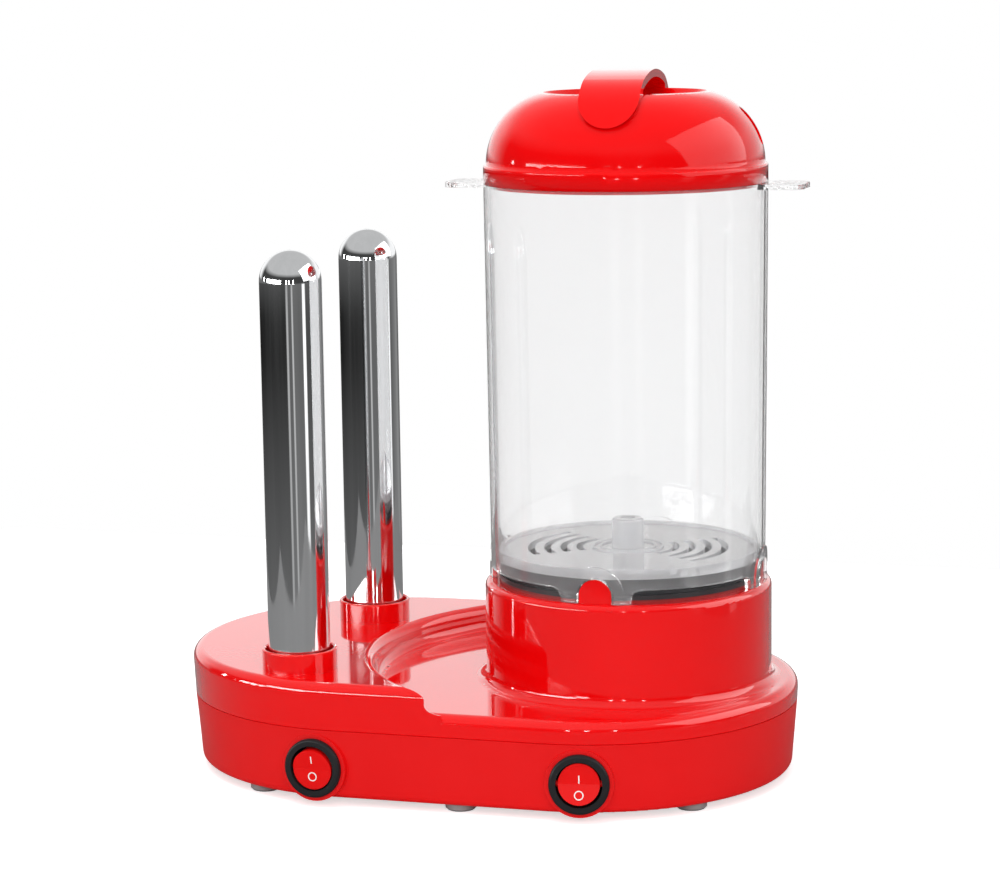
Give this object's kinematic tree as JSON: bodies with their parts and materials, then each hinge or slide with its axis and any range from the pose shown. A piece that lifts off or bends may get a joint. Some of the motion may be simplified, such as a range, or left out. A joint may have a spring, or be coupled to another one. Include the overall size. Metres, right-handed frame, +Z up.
{
  "type": "hot dog steamer",
  "caption": "Table-top hot dog steamer: oval red base with rocker switches, clear steam tube with domed lid over a water pan, and upright chrome bun-warming spikes.",
  "frame": {"origin": "on the table, under the middle of the whole object's outer box", "axes": "+Z up; +X along the base from the spikes to the steam drum; -Y is the front with the switches"},
  "size_m": [0.25, 0.1678, 0.2772],
  "materials": {
    "red_gloss": "polished injection-moulded red",
    "red_satin": "fine-textured moulded red",
    "red_rocker": "moulded red rocker",
    "black_plastic": "moulded black",
    "black_rubber": "matt rubber",
    "clear_plastic": "clear polycarbonate",
    "chrome": "polished chrome plate",
    "steel": "bright zinc plated steel",
    "brass": "plain brass",
    "pan_dark": "dark non-stick coating",
    "silicone_red": "soft silicone",
    "ceramic": "cream ceramic"
  },
  "bodies": {
    "base": {"lower_housing": "red_satin", "upper_housing": "red_gloss", "rubber_feet": "black_rubber", "housing_screws": "steel", "cord_grommet": "black_plastic", "terminal_block": "ceramic", "terminal_block_screw": "steel", "bun_switch_body": "black_plastic", "bun_switch_terminals": "brass", "steam_switch_body": "black_plastic", "steam_switch_terminals": "brass", "water_pan": "pan_dark", "pan_seal": "silicone_red", "pan_ring_nut": "steel", "heater_ring": "steel", "heater_clamp_plate": "steel", "heater_clamp_screw": "steel", "steam_thermostat": "ceramic", "thermal_fuse": "ceramic", "spike_front": "chrome", "spike_rear": "chrome", "spike_collar_front": "red_gloss", "spike_collar_rear": "red_gloss", "spike_heater_front": "ceramic", "spike_heater_rear": "ceramic", "spike_clamp_plate": "steel", "spike_clamp_screws": "steel"},
    "steam_tube": {"steam_tube": "clear_plastic"},
    "tray": {"sausage_tray": "clear_plastic"},
    "lid": {"lid": "red_gloss", "lid_handle": "red_gloss", "lid_handle_clips": "steel"},
    "bun_rocker": {"bun_switch_rocker": "red_rocker"},
    "steam_rocker": {"steam_switch_rocker": "red_rocker"}
  },
  "joints": [
    {"name": "tube_lift", "type": "slide", "parent": "base", "child": "steam_tube", "axis": [0, 0, 1], "range_m": [0, 0.16]},
    {"name": "lid_lift", "type": "slide", "parent": "steam_tube", "child": "lid", "axis": [0, 0, 1], "range_m": [0, 0.08]},
    {"name": "tray_lift", "type": "slide", "parent": "steam_tube", "child": "tray", "axis": [0, 0, 1], "range_m": [0, 0.12]},
    {"name": "bun_rocker_tip", "type": "hinge", "parent": "base", "child": "bun_rocker", "pos_m": [-0.0504, -0.0794, 0.0152], "axis": [0.9962, -0.0872, 0], "range_deg": [-14, 0]},
    {"name": "steam_rocker_tip", "type": "hinge", "parent": "base", "child": "steam_rocker", "pos_m": [0.05394, -0.07839, 0.0152], "axis": [0.9836, 0.1805, 0], "range_deg": [0, 14]}
  ]
}
